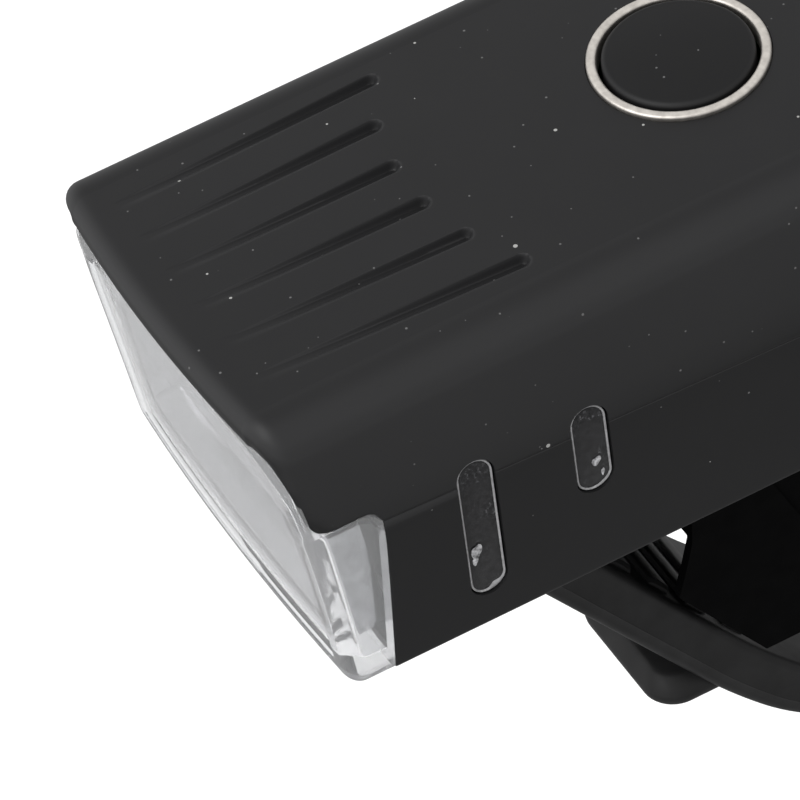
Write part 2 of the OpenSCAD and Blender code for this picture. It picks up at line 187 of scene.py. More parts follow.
def clear(name, tint, rough, wave=0.0, ior=1.5, weight=1.0):
    n = Nodes(name)
    f = n.noise(300.0, 3.0)
    n.link(n.ramp(f, [(0.3, shade(tint, 0.985)), (0.7, tint)]), n.bsdf.inputs["Base Color"])
    n.link(n.map(n.noise(700.0, 3.0), rough + 0.005, rough + 0.04), n.bsdf.inputs["Roughness"])
    if wave:
        n.link(n.bump(n.noise(900.0, 2.0), wave, 0.0001), n.bsdf.inputs["Normal"])
    n.set(Transmission_Weight=weight, IOR=ior)
    return n.mat


M_TOP = soft_touch("soft_touch_top", (0.0155, 0.0155, 0.0163), spec=0.16, specks=0.85)
M_LOW = soft_touch("soft_touch_low", (0.0155, 0.0155, 0.0163), spec=0.15, specks=0.15)
M_BTN = soft_touch("button_rubber", (0.010, 0.010, 0.0105), rough=0.55, spec=0.14, specks=0.7)
M_RUB = plain("strap_rubber", (0.0128, 0.0128, 0.0131), 0.45, spec=0.22,var=0.2, scale=350.0, grain=5000.0, bump=0.12).mat
# painted shade: the bracket plastic is far darker than the black body and nearly without specular, standing in for the
# shade under the body
M_BRK_SHADED = plain("bracket_plastic_shaded", (0.0018, 0.0018, 0.0019), 0.5, spec=0.02,var=0.2, scale=500.0, grain=6000.0, bump=0.15).mat
M_STEEL = plain("plain_steel", (0.55, 0.55, 0.57), 0.32, metallic=1.0, var=0.06).mat
M_ALU = plain("extruded_aluminium", (0.68, 0.69, 0.71), 0.38, metallic=1.0, var=0.05).mat
M_PCB = plain("solder_mask", (0.012, 0.11, 0.035), 0.3, var=0.2, scale=900.0).mat
M_WHITE = plain("white_mask", (0.75, 0.75, 0.72), 0.35, var=0.05).mat
M_PHOS = plain("phosphor", (0.85, 0.68, 0.22), 0.4, var=0.05).mat
M_CELL = plain("cell_film", (0.05, 0.12, 0.30), 0.28, var=0.08).mat
M_CREAM = plain("switch_plastic", (0.60, 0.55, 0.45), 0.45, var=0.08).mat
M_SEAL = plain("silicone", (0.03, 0.03, 0.03), 0.6, var=0.15).mat
M_CLEAR = clear("clear_lens", (0.80, 0.805, 0.815), 0.0, ior=1.20, weight=0.84)


def window_clear():
    """Clear insert with a near-black base colour as painted shade of the cavity behind it, and painted reflections as
    bright specks inside.
    """
    n = Nodes("clear_window")
    speck = n.ramp(n.noise(2600.0, 4.0, 0.7), [(0.40, (0.012, 0.012, 0.013)), (0.56, (0.03, 0.03, 0.032)), (0.72, (0.16, 0.16, 0.17))])
    painted_dark_base = n.ramp(n.noise(1800.0, 3.0), [(0.35, (0.018, 0.018, 0.019)), (0.7, (0.034, 0.034, 0.036))])
    # the painted reflections run in bands
    base = n.mix(n.map(n.noise(260.0, 2.0), 0.0, 1.0, 0.46, 0.56), painted_dark_base, speck)
    n.link(base, n.bsdf.inputs["Base Color"])
    n.link(n.map(n.noise(900.0, 3.0), 0.10, 0.30), n.bsdf.inputs["Roughness"])
    n.link(n.bump(n.noise(1500.0, 3.0), 0.35, 0.0001), n.bsdf.inputs["Normal"])
    n.set(Transmission_Weight=0.35, IOR=1.5)
    n.set(**{"Specular_IOR_Level": 0.25})
    return n.mat


M_WIN = window_clear()
M_TRAP = plain("light_trap", (0.016, 0.016, 0.017), 0.5, spec=0.2, var=0.5, scale=1400.0, grain=2500.0, bump=0.5).mat
# painted highlight: light grey for glints under the window faces
M_GUIDE_GLINT = plain("guide_painted_glint", (0.30, 0.30, 0.31), 0.35, spec=0.5, var=0.85, scale=3200.0, grain=2500.0, bump=0.6).mat
# painted highlight: light grey for the glint on the window rims
M_RIM_GLINT = plain("window_rim_painted_glint", (0.30, 0.30, 0.305), 0.3, spec=0.5, var=0.25, scale=2500.0, grain=3000.0, bump=0.3).mat


def ring_metal():
    n = Nodes("ring_metal")
    n.link(n.ramp(n.noise(1500.0, 3.0), [(0.3, (0.44, 0.415, 0.385)), (0.7, (0.60, 0.57, 0.53))]), n.bsdf.inputs["Base Color"])
    n.link(n.map(n.noise(2600.0, 3.0), 0.38, 0.52), n.bsdf.inputs["Roughness"])
    n.link(n.bump(n.noise(5000.0, 2.0), 0.12, 0.00002), n.bsdf.inputs["Normal"])
    n.set(Metallic=1.0)
    return n.mat


def mirror_coat():
    n = Nodes("reflector_coat")
    front = n.ramp(n.noise(400.0, 3.0), [(0.3, (0.54, 0.54, 0.55)), (0.7, (0.66, 0.66, 0.67))])
    deep = n.ramp(n.noise(400.0, 3.0), [(0.3, (0.84, 0.84, 0.85)), (0.7, (0.92, 0.92, 0.92))])
    painted_shade_tone = n.ramp(n.noise(900.0, 4.0, 0.7), [(0.35, (0.26, 0.26, 0.27)), (0.65, (0.52, 0.52, 0.53))])
    xyz = n.add("ShaderNodeSeparateXYZ")
    n.link(n.co, xyz.inputs[0])
    # painted reflection: the base colour is brightest deep in the bowl
    base = n.mix(n.map(xyz.outputs[1], 0.0, 1.0, -0.0582, -0.0560), front, deep)
    # painted shade: the base colour is darker on the flange and towards its lower edge
    rim = n.map(n.math("ABSOLUTE", xyz.outputs[0]), 0.0, 1.0, 0.0138, 0.0152)
    low = n.map(xyz.outputs[2], 1.0, 0.0, 0.0258, 0.0280)
    n.link(n.mix(n.math("MAXIMUM", rim, low), base, painted_shade_tone), n.bsdf.inputs["Base Color"])
    n.link(n.map(n.noise(900.0, 3.0), 0.12, 0.24), n.bsdf.inputs["Roughness"])
    n.link(n.bump(n.noise(1100.0, 3.0), 0.5, 0.0001), n.bsdf.inputs["Normal"])
    n.set(Metallic=1.0)
    return n.mat


M_RING = ring_metal()
M_REFL = mirror_coat()


# ---------------------------------------------------------------- mesh helpers
def make(name, verts, faces, mat, body, smooth=True, angle=32.0, weld=0.0):
    """Mesh object from millimetre points."""
    me = bpy.data.meshes.new(name)
    me.from_pydata([tuple(float(c) * MM for c in v) for v in verts], [], [tuple(int(i) for i in f) for f in faces])
    if weld:
        bm = bmesh.new()
        bm.from_mesh(me)
        bmesh.ops.remove_doubles(bm, verts=bm.verts, dist=weld * MM)
        bmesh.ops.dissolve_degenerate(bm, edges=bm.edges, dist=1e-7)
        bm.to_mesh(me)
        bm.free()
    me.validate()
    bm = bmesh.new()
    bm.from_mesh(me)
    bmesh.ops.recalc_face_normals(bm, faces=bm.faces)
    bm.to_mesh(me)
    bm.free()
    o = bpy.data.objects.new(name, me)
    scene.collection.objects.link(o)
    me.materials.append(mat)
    if smooth:
        finish_shading(me, angle)
    if body:
        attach(o, body)
    return o


def finish_shading(me, angle=32.0):
    me.shade_smooth()
    me.set_sharp_from_angle(angle=math.radians(angle))


def cut(o, cutters, angle=32.0):
    """Boolean difference, baked into the mesh."""
    for c in cutters:
        m = o.modifiers.new("cut", "BOOLEAN")
        m.operation, m.solver, m.object = "DIFFERENCE", "EXACT", c
        dg = bpy.context.evaluated_depsgraph_get()
        me = bpy.data.meshes.new_from_object(o.evaluated_get(dg))
        o.modifiers.clear()
        old = o.data
        o.data = me
        bpy.data.meshes.remove(old)
    for c in cutters:
        me = c.data
        bpy.data.objects.remove(c)
        bpy.data.meshes.remove(me)
    finish_shading(o.data, angle)
    return o


def tool(name, verts, faces):
    return make(name, verts, faces, M_SEAL, None, smooth=False)


def prism(name, outline, axis, a, b):
    """Closed prism of a 2D outline along an axis, as a cutter."""
    n = len(outline)
    v = []
    for t in (a, b):
        for p, q in outline:
            v.append({"x": (t, p, q), "y": (p, t, q), "z": (p, q, t)}[axis])
    f = [tuple(range(n)), tuple(range(2 * n - 1, n - 1, -1))]
    f += [(i, (i + 1) % n, n + (i + 1) % n, n + i) for i in range(n)]
    return tool(name, v, f)


def stadium(cy, cz, length, w, k=14):
    r, h = w / 2, (length - w) / 2
    up = [(cy + r * math.cos(math.pi * i / k), cz + h + r * math.sin(math.pi * i / k)) for i in range(k + 1)]
    dn = [(cy - r * math.cos(math.pi * i / k), cz - h - r * math.sin(math.pi * i / k)) for i in range(k + 1)]
    return up + dn


def circle(cx, cy, r, k=96):
    return [(cx + r * math.cos(2 * math.pi * i / k), cy + r * math.sin(2 * math.pi * i / k)) for i in range(k)]


def grid_faces(nu, nv, off=0, close_u=False):
    f = []
    for j in range(nv - 1):
        for i in range(nu if close_u else nu - 1):
            a, b = j * nu + i, j * nu + (i + 1) % nu
            f.append((off + a, off + b, off + b + nu, off + a + nu))
    return f


def smoothstep(a, b, x):
    t = np.clip((np.asarray(x, float) - a) / (b - a), 0, 1)
    return t * t * (3 - 2 * t)


# ---------------------------------------------------------------- shape of the body
# the light is shaped in its own frame, then set on the bracket
YF, YR, ZB = -62.65, 39.0, 21.2
LENS_Y = -53.62
BTN = (0.0, -14.0)
WINDOWS = ((-45.37, 15.2), (-35.1, 9.3))
WIN_W, WIN_TOP = 3.2, 40.3
SEAT = Matrix.Translation((0, -5.0 * MM, 1.3 * MM))


def seat(o):
    o.data.transform(SEAT)
    return o


def z_top(y):
    """Flat top, falling gently to the front and rounded at the rear."""
    y = np.asarray(y, float)
    z = 51.6 - 0.0111 * np.clip(-14.0 - y, 0, 50)
    t = np.clip((y - YR + 6.0) / 6.0, 0, 1)
    return z - 6.0 * (1 - np.sqrt(np.clip(1 - t * t, 0, 1)))


def z_bot(y):
    t = np.clip((np.asarray(y, float) - YR + 3.0) / 3.0, 0, 1)
    return ZB + 3.0 * (1 - np.sqrt(np.clip(1 - t * t, 0, 1)))


def x_in(y):
    """How far the plan is rounded in at the rear."""
    t = np.clip((np.asarray(y, float) - YR + 8.0) / 8.0, 0, 1)
    return 8.0 * (1 - np.sqrt(np.clip(1 - t * t, 0, 1)))


def x_side(z):
    z = np.asarray(z, float)
    up = 20.0 - 1.6 * np.clip((z - 37.7) / 11.3, 0, 2) ** 1.5
    dn = 20.0 - 0.8 * np.clip((37.7 - z) / 16.5, 0, 2) ** 1.4
    return np.where(z > 37.7, up, dn)


def z_part(y):
    """Joint line of the two shells, stepping up over the lens under the hood."""
    y = np.asarray(y, float)
    line = 38.57 - 0.0397 * (y + 49.33)
    step = np.interp(y, [-54.9, -54.55, -54.28, -54.0, -53.8, LENS_Y], [40.1, 40.05, 39.85, 39.5, 39.1, 38.74])
    return np.where(y > LENS_Y, line, step)


def sweep(z):
    """How far the front edge of the hood cheek is set back at height z."""
    return np.interp(z, [40.1, 40.25, 40.5, 40.97, 41.6, 42.9, 44.1, 45.5, 46.7, 48.5, 50.0],
                     [2.5, 2.25, 2.05, 1.8, 1.56, 1.3, 1.12, 0.82, 0.55, 0.15, 0.0])


def lean(z):
    """Lean of the joint between the lens and the lower shell."""
    return -0.052 * np.clip(36.5 - np.asarray(z, float), 0, None)


def groove_depth(x, y):
    d = np.zeros(np.broadcast(x, y).shape)
    for k in (-2.5, -1.5, -0.5, 0.5, 1.5, 2.5):
        x0 = k * 5.05
        y_end = BTN[1] - math.sqrt(24.25 ** 2 - x0 * x0)
        y_out = YF + 3.5
        t = np.clip((y - y_out) / (y_end - y_out), 0, 1)
        xc, half = groove_line(x0, t)
        deep = GROOVE_D * t ** 0.9
        end = np.clip((y - (y_end - half)) / half, 0, None)
        u = (x - xc) / half
        over = np.where(y > y_end - half, end, 0)
        r = np.sqrt(u ** 2 + over ** 2)
        # steep wall on the far side and at the round end of each groove, a gentle rise on the near side
        far = np.clip((1 - r) / 0.34, 0, 1)
        near = np.clip((1 - r) / 1.35, 0, 1)
        w = smoothstep(-0.7, 0.5, u)
        shape = far * (1 - w) + near * w
        d = np.maximum(d, deep * shape * shape * (3 - 2 * shape))
    return d


def groove_line(x0, t):
    """Middle and half-width of a groove, t from its front end to its rear end."""
    return x0 * (0.93 + 0.07 * t), GROOVE_W * (0.78 + 0.22 * t)


GROOVE_D, GROOVE_W = 0.95, 0.88


def section_path(y, inset=0.0, fine=True):
    """Upper section at station y from the lower right edge over the top, as (x, z) and inward normals."""
    zt = float(z_top(y)) - inset
    zp = float(z_part(y))
    xi = float(x_in(y)) + inset
    r = max(0.8, 3.5 - inset * 0.6)
    r = min(r, (zt - zp) * 0.8)
    zs = zp + (zt - r - zp) * np.linspace(0, 1, 26) ** 1.4
    side = np.stack([x_side(zs) - xi, zs], 1)
    c = np.array([float(x_side(zt)) - xi, zt])
    p0, p3 = side[-1], np.array([c[0] - r * 0.93, zt])
    p1, p2 = p0 + (c - p0) * 0.57, p3 + (c - p3) * 0.57
    t = np.linspace(0, 1, 17)[1:, None]
    sh = p0 * (1 - t) ** 3 + 3 * p1 * t * (1 - t) ** 2 + 3 * p2 * t * t * (1 - t) + p3 * t ** 3
    # points across the top, gathered at the groove walls
    xs = [np.linspace(p3[0], 14.4, 6)[1:]]
    for k in (2.5, 1.5, 0.5):
        tg = float(np.clip((y - YF - 3.5) / 24.0, 0, 1))
        xc, hw = groove_line(k * 5.05, tg)
        xs.append(xc + hw * np.array([1.12, 1.04, 0.98, 0.93, 0.88, 0.83, 0.78, 0.73, 0.67, 0.6, 0.45, 0.3, 0.15, 0.0,
                                      -0.15, -0.3, -0.45, -0.6, -0.67, -0.73, -0.78, -0.83, -0.88, -0.93, -0.98, -1.04, -1.12]))
        low = xc - 1.12 * hw
        xs.append(np.linspace(low, max(low - 2.6, 0.0), 6)[1:])
    xt = np.concatenate(xs)
    xt[-1] = 0.0
    # a slight crown across the flat top
    sag = 0.0018 * float(smoothstep(YR - 2.0, YR - 14.0, y))
    top = np.stack([xt, zt - sag * xt ** 2], 1)
    sh[:, 1] -= sag * p3[0] ** 2 * t[:, 0] ** 2
    half = np.concatenate([side, sh, top])
    other = half[:-1][::-1] * [-1, 1]
    path = np.concatenate([half, other])
    d = np.gradient(path, axis=0)
    n = np.stack([-d[:, 1], d[:, 0]], 1)
    n /= np.linalg.norm(n, axis=1)[:, None] + 1e-12
    return path, n


def fade(y):
    return 1 - smoothstep(YF, YF + 7.6, y)


def wall_at(z, y):
    """Wall of the upper shell: thick at the lip on top, thin at the cheeks of the hood."""
    low = 0.9 + 1.1 * float(smoothstep(-54.5, -50.0, y))
    return low + (2.9 - low) * smoothstep(44.5, 49.5, z)


def closed_shell(outer, lip, inner):
    """Rows from the rear outside to the front, over the lip and back inside, closed all round."""
    rows = list(outer) + list(lip) + list(inner)
    nu = len(rows[0])
    v = np.concatenate(rows)
    f = grid_faces(nu, len(rows))
    no, nl = len(outer), len(lip)
    at = lambda j, i: j * nu + (i % nu)
    last = len(rows) - 1
    f.append(tuple(at(0, i) for i in range(nu)))
    f.append(tuple(at(last, i) for i in range(nu - 1, -1, -1)))
    for i, flip in ((0, False), (nu - 1, True)):
        for j in range(no - 1):
            q = (at(j, i), at(j + 1, i), at(last - j - 1, i), at(last - j, i))
            f.append(q[::-1] if flip else q)
        ring = tuple(at(j, i) for j in range(no - 1, no + nl + 1))
        if len(ring) > 2:
            f.append(ring)
    f.append((at(0, 0), at(last, 0), at(last, nu - 1), at(0, nu - 1)))
    return v, f


def place(path, y, front=True):
    """(x, z) path to points at station y, with the front bowed in plan."""
    f = float(fade(y)) if front else 0.0
    yy = y + 1.6 * f * (path[:, 0] / 20.0) ** 2
    if front:
        yy = yy + (1 - smoothstep(YF + 1.0, YF + 6.0, y)) * sweep(path[:, 1])
    return np.stack([path[:, 0], yy, path[:, 1]], 1)


def build_top_cover():
    lip_r = 1.6
    ys = np.concatenate([
        np.linspace(YF + lip_r, -40.0, 80)[:-1],
        np.linspace(-40.0, -34.2, 50)[:-1],
        np.linspace(-34.2, YR - 8.0, 32),
        YR - 8.0 + 8.0 * np.sin(np.linspace(0, math.pi / 2, 15)[1:])])
    outer, inner = [], []
    for y in ys[::-1]:
        p, n = section_path(y + 0.0)
        q = place(p, y)
        g = groove_depth(q[:, 0], q[:, 1]) if y < -34 else 0.0
        top = smoothstep(0.75, 0.98, -n[:, 1])
        q[:, 2] -= g * top
        p2 = p.copy()
        p2[0] += [-0.05, 0.0]
        p2[-1] += [0.05, 0.0]
        q[0, 0], q[-1, 0] = p2[0, 0], p2[-1, 0]
        outer.append(q)
    for y in ys:
        p, n = section_path(y)
        w = p + n * wall_at(p[:, 1], y)[:, None]
        if y > YR - 8.0:
            w[:, 0] *= 1 - 0.04 * smoothstep(YR - 10.0, YR, y)
        q = place(w, y)
        q[:, 1] = np.minimum(q[:, 1], YR - 2.2)
        q[:, 2] = np.maximum(q[:, 2], p[:, 1].min())
        inner.append(q)
    y0 = YF + lip_r
    p, n = section_path(y0)
    base = place(p, y0)
    nn = np.stack([n[:, 0], np.zeros(len(n)), n[:, 1]], 1)
    wl = wall_at(p[:, 1], y0)[:, None]
    rl, e = np.minimum(lip_r, 0.6 * wl), 0.16 * wl
    lip = []
    for a in np.linspace(0, math.pi / 2, 8)[1:]:
        lip.append(base + np.array([0, -lip_r, 0]) * math.sin(a) + nn * rl * (1 - math.cos(a)))
    fy = np.array([0.0, 1.0, 0.0])
    lip.append(base - fy * (lip_r - 0.04) + nn * (wl - e))
    for a in np.linspace(0, math.pi / 2, 4)[1:]:
        lip.append(base - fy * (lip_r - 0.04 - e * (1 - math.cos(a))) + nn * (wl - e + e * math.sin(a)))
    for r in lip:
        r[:, 2] = np.maximum(r[:, 2], base[:, 2].min())
    v, f = closed_shell(outer, lip, inner)
    o = make("top_cover_skin", v, f, M_TOP, "head", angle=40.0)
    tools = []
    for cy, ln in WINDOWS:
        for s in (1, -1):
            tools.append(prism("t", stadium(cy, WIN_TOP - ln / 2, ln + 0.24, WIN_W + 0.24), "x", 14 * s, 26 * s))
    tools.append(prism("t", circle(0, BTN[1], 7.58), "z", 47.5, 60))
    seat(cut(o, tools, 40.0))
    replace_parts(o, "top_cover")
    return o


def low_path(y, inset=0.0):
    zp, zb = float(z_part(y)) - 0.015, float(z_bot(y)) + inset
    xi = float(x_in(y)) + inset
    r = max(0.5, 0.8 - 0.2 * inset)
    zs = np.concatenate([[zp], np.linspace(zp - 0.06, zb + r, 22)])
    xs = x_side(zs) - xi
    xs[0] -= 0.05
    side = np.stack([xs, zs], 1)
    c = np.array([float(x_side(zb)) - xi, zb])
    p0, p3 = side[-1], np.array([c[0] - r, zb])
    p1, p2 = p0 + (c - p0) * 0.56, p3 + (c - p3) * 0.56
    t = np.linspace(0, 1, 11)[1:, None]
    co = p0 * (1 - t) ** 3 + 3 * p1 * t * (1 - t) ** 2 + 3 * p2 * t * t * (1 - t) + p3 * t ** 3
    xb = np.linspace(p3[0], 0, 14)[1:]
    half = np.concatenate([side, co, np.stack([xb, np.full_like(xb, zb)], 1)])
    return np.concatenate([half, half[:-1][::-1] * [-1, 1]])


def build_housing():
    y0 = LENS_Y + 0.02
    ys = np.concatenate([
        [y0, y0 + 0.12], np.linspace(y0 + 1.0, YR - 8.0, 46),
        YR - 8.0 + 8.0 * np.sin(np.linspace(0, math.pi / 2, 15)[1:])])
    outer, inner = [], []
    for j, y in enumerate(ys[::-1]):
        p = low_path(y, 0.12 if y == y0 else 0.0)
        outer.append(np.stack([p[:, 0], y + lean(p[:, 1]) * smoothstep(y0 + 12.0, y0, y), p[:, 1]], 1))
    for y in ys:
        yi = min(y, YR - 2.2)
        p = low_path(yi, 2.0)
        q = np.stack([p[:, 0], yi + lean(p[:, 1]) * smoothstep(y0 + 12.0, y0, y), p[:, 1]], 1)
        inner.append(q)
    v, f = closed_shell(outer, [], inner)
    o = make("lower_housing_skin", v, f, M_LOW, "head", angle=40.0)
    tools = []
    for cy, ln in WINDOWS:
        for s in (1, -1):
            tools.append(prism("t", stadium(cy, WIN_TOP - ln / 2, ln + 0.24, WIN_W + 0.24), "x", 14 * s, 26 * s))
    tools.append(prism("t", [(-7.2, 24.3), (7.2, 24.3), (7.2, 34.0), (-7.2, 34.0)], "y", YR - 2.5, YR + 2.0))
    seat(cut(o, tools, 40.0))
    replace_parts(o, "lower_housing")
    return o


def lathe(name, prof, centre, mat, body, k=128, angle=35.0):
    """Closed turned piece about a vertical axis; prof is a closed loop of (r, z)."""
    v, f = [], []
    n = len(prof)
    for i in range(k):
        a = 2 * math.pi * i / k
        v += [(centre[0] + r * math.cos(a), centre[1] + r * math.sin(a), z) for r, z in prof]
    for i in range(k):
        for j in range(n):
            a, b = i * n + j, i * n + (j + 1) % n
            c, d = ((i + 1) % k) * n + (j + 1) % n, ((i + 1) % k) * n + j
            f.append((a, b, c, d))
    return make(name, v, f, mat, body, angle=angle, weld=0.0005)


def arc(cx, cz, r, a0, a1, k=6):
    return [(cx + r * math.cos(math.radians(a0 + (a1 - a0) * i / k)), cz + r * math.sin(math.radians(a0 + (a1 - a0) * i / k))) for i in range(k + 1)]


def build_button():
    ring = [(6.62, 50.2)] + [(6.62, 51.55)] + arc(6.92, 51.62, 0.30, 180, 90, 5) + arc(7.24, 51.66, 0.26, 90, 0, 5) + [(7.5, 50.2)]
    o = seat(lathe("button_ring_turned", ring, BTN, M_RING, "head", angle=50.0))
    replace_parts(o, "button_ring")
    R = 45.0
    dome = [(r, 52.5 - R + math.sqrt(R * R - r * r)) for r in np.linspace(0, 5.75, 24)]
    zr = dome[-1][1]
    edge = arc(5.75, zr - 0.5, 0.5, 85, 0, 6)
    cap = [(0.0, 49.2)] + [(0.0, dome[0][1])] + dome[1:] + edge + [(6.25, 49.2)]
    o = seat(lathe("button_cap_dome", cap, BTN, M_BTN, "button", angle=50.0))
    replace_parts(o, "button_cap")


def build_windows():
    for node, (cy, ln) in zip(("side_windows_long", "side_windows_short"), WINDOWS):
        for s in (1, -1):
            base = stadium(cy, WIN_TOP - ln / 2, ln, WIN_W)
            cz = WIN_TOP - ln / 2
            rows = []
            # from the inside face outwards, with a rounded outer rim and a flat face
            for d, x in ((0.0, -2.6), (0.0, -0.30), (0.06, -0.14), (0.20, -0.04), (0.36, 0.0)):
                ring = stadium(cy, cz, ln - 2 * d, WIN_W - 2 * d)
                rows.append([(s * (float(x_side(q)) + x - 0.26), p, q) for p, q in ring])
            n = len(rows[0])
            v = [p for r in rows for p in r]
            f = grid_faces(n, len(rows), close_u=True)
            f.append(tuple(range(n - 1, -1, -1)))
            f.append(tuple(range((len(rows) - 1) * n, len(rows) * n)))
            o = seat(make(f"{node}_{'r' if s > 0 else 'l'}", v, f, M_WIN, "head", angle=40.0))
            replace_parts(o, node)
            # painted highlight: a light-grey bead round the window stands in for the glint on its rounded rim, wider at
            # its lower rear end
            outer = np.array(stadium(cy, cz, ln, WIN_W))
            inner = np.array(stadium(cy, cz, ln - 0.44, WIN_W - 0.44))
            gap = (outer - inner) / 0.22
            turn = np.degrees(np.arctan2(outer[:, 0] - cy, (cz - ln / 2 + WIN_W / 2) - outer[:, 1]))
            highlight_widen = np.exp(-((turn - 28.0) / 30.0) ** 2) * (0.62 if ln > 10 else 0.18)
            rows = []
            for d, x in ((0.0, -0.40), (0.0, -0.10), (0.25, -0.01), (0.6, 0.0), (1.0, -0.08), (1.0, -0.40), (0.0, -0.40)):
                q = outer - gap * ((0.20 + highlight_widen) * d)[:, None]
                rows.append([(s * (float(x_side(b)) + x - 0.20), a, b) for a, b in q])
            v = [p for r in rows for p in r]
            o = make(f"{node}_bead_{'r' if s > 0 else 'l'}", v, grid_faces(n, len(rows), close_u=True), M_RIM_GLINT, "head", angle=50.0, weld=0.0005)
            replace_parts(seat(o), node)
            # dark light trap behind each window
            ring = stadium(cy, cz, ln + 0.6, WIN_W + 0.6)
            v = [(s * x, p, q) for x in (15.4, 16.4) for p, q in ring]
            f = grid_faces(n, 2, close_u=True) + [tuple(range(n)), tuple(range(n, 2 * n))]
            o = make(f"light_trap_{node[13:]}_{'r' if s > 0 else 'l'}", v, f, M_TRAP, "head", angle=40.0)
            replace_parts(seat(o), "lower_housing")
            # painted highlights: small light-grey facets under the window face stand in for glints where the light
            # guide ends
            spots = ((cy - 0.72, 30.2, 0.42, 0.85), (cy - 0.92, 29.2, 0.22, 0.5)) if ln > 10 else ((cy + 0.30, 34.0, 0.36, 0.5), (cy + 0.78, 32.5, 0.13, 0.42))
            v, f = [], []
            for py, pz, a, b in spots:
                k0, m = len(v), 20
                for x, e in ((-0.30, 1.0), (-0.245, 1.0), (-0.225, 0.8), (-0.215, 0.4)):
                    for i in range(m):
                        g = 2 * math.pi * i / m
                        w = e * (1 + 0.22 * math.sin(2 * g + 0.7) + 0.12 * math.sin(3 * g))
                        p, q = py + a * w * math.cos(g), pz + b * w * math.sin(g)
                        v.append((s * (float(x_side(q)) + x), p, q))
                f += grid_faces(m, 4, off=k0, close_u=True)
                f += [tuple(range(k0, k0 + m)), tuple(range(k0 + 3 * m, k0 + 4 * m))]
            o = make(f"guide_painted_glints_{node[13:]}_{'r' if s > 0 else 'l'}", v, f, M_GUIDE_GLINT, "head", angle=40.0)
            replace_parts(seat(o), node)


build_top_cover()
build_housing()
build_button()
build_windows()


# ---------------------------------------------------------------- lens and reflector
RAKE = 0.0950


def y_front(x, z):
    """Lens face: leaning back downwards and bowed in plan."""
    return -58.92 - (z - 21.6) * RAKE - 0.0006 * (z - 21.6) ** 2 + 0.75 * (x / 20.0) ** 2


def lens_outline(y, inset, wide=False):
    """Outline of the lens section at depth y; wide where it stands out in front of the hood cheeks."""
    step = float(z_part(y)) - 0.08 - inset
    zb = ZB + 0.02 + 0.65 * inset
    r = max(0.5, 0.9 - 0.2 * inset)
    c = np.array([float(x_side(zb)) - 0.06 - inset, zb])
    p0 = np.array([c[0] - r, zb])
    zs = np.linspace(zb + r, step, 14)
    side = np.stack([x_side(zs) - 0.06 - inset, zs], 1)
    p3 = side[0]
    p1, p2 = p0 + (c - p0) * 0.56, p3 + (c - p3) * 0.56
    t = np.linspace(0, 1, 9)[1:-1, None]
    co = p0 * (1 - t) ** 3 + 3 * p1 * t * (1 - t) ** 2 + 3 * p2 * t * t * (1 - t) + p3 * t ** 3
    xb = np.linspace(0, p0[0], 12)
    # under the hood
    zt = float(z_top(-58.0)) - 3.8 - inset
    zu = np.linspace(step, zt - 3.0, 8)
    under = 0.06 + 2.3 * smoothstep(43.0, 48.0, zu) if wide else 1.15 + 1.2 * smoothstep(42.0, 48.0, zu)
    up = np.stack([x_side(zu) - under - inset, zu], 1)
    cc = np.array([float(x_side(zt)) - 2.4 - inset, zt])
    q0, q3 = up[-1], np.array([cc[0] - 3.0, zt])
    q1, q2 = q0 + (cc - q0) * 0.56, q3 + (cc - q3) * 0.56
    t = np.linspace(0, 1, 8)[1:, None]
    cu = q0 * (1 - t) ** 3 + 3 * q1 * t * (1 - t) ** 2 + 3 * q2 * t * t * (1 - t) + q3 * t ** 3
    xt = np.linspace(q3[0], 0, 10)[1:]
    half = np.concatenate([np.stack([xb, np.full_like(xb, zb)], 1), co, side, up, cu, np.stack([xt, np.full_like(xt, zt)], 1)])
    return np.concatenate([half, half[1:-1][::-1] * [-1, 1]])


def lens_rows(inset, depth, rear, rr, step=0.0):
    """Rows from the rear edge to the middle of the face."""
    rows = []
    for t in np.concatenate([[0.0, 0.04], np.linspace(0.12, 1.0, 9)]):
        # the depth of a row follows the face so the last one meets the rounded edge
        y_mid = rear + (-58.9 + depth + rr - rear) * t
        o = lens_outline(y_mid, inset)
        edge = rear + lean(o[:, 1])
        y = edge + (y_front(o[:, 0], o[:, 1]) + depth + rr - edge) * t
        rows.append(np.stack([o[:, 0], y, o[:, 1]], 1))
    turn = [(a, False) for a in np.linspace(0, math.pi / 2, 6)[1:]]
    if step:
        # the front flange steps out over the hood cheeks
        turn = [(0.2, False), (0.4, False), (0.5, False), (0.5, True)] + [(a, True) for a in np.linspace(0.6, math.pi / 2, 6)]
    for a, wide in turn:
        o = lens_outline(-58.6, inset + rr * (1 - math.cos(a)), wide)
        rows.append(np.stack([o[:, 0], y_front(o[:, 0], o[:, 1]) + depth + rr * (1 - math.sin(a)), o[:, 1]], 1))
    if step:
        # raised frame round the face, then a step down to the panel
        for d, e in ((1.1, 0.0), (1.3, 0.08), (1.45, 0.4), (1.7, 0.5)):
            o = lens_outline(-58.6, inset + rr + d, True)
            rows.append(np.stack([o[:, 0], y_front(o[:, 0], o[:, 1]) + depth + e * step, o[:, 1]], 1))
        rr, depth = rr + 1.7, depth + 0.5 * step
    o = lens_outline(-58.6, inset + rr)
    for s in (0.93, 0.82, 0.68, 0.5, 0.3, 0.1):
        p = np.stack([o[:, 0] * s, 36.0 + (o[:, 1] - 36.0) * s], 1)
        rows.append(np.stack([p[:, 0], y_front(p[:, 0], p[:, 1]) + depth, p[:, 1]], 1))
    return rows


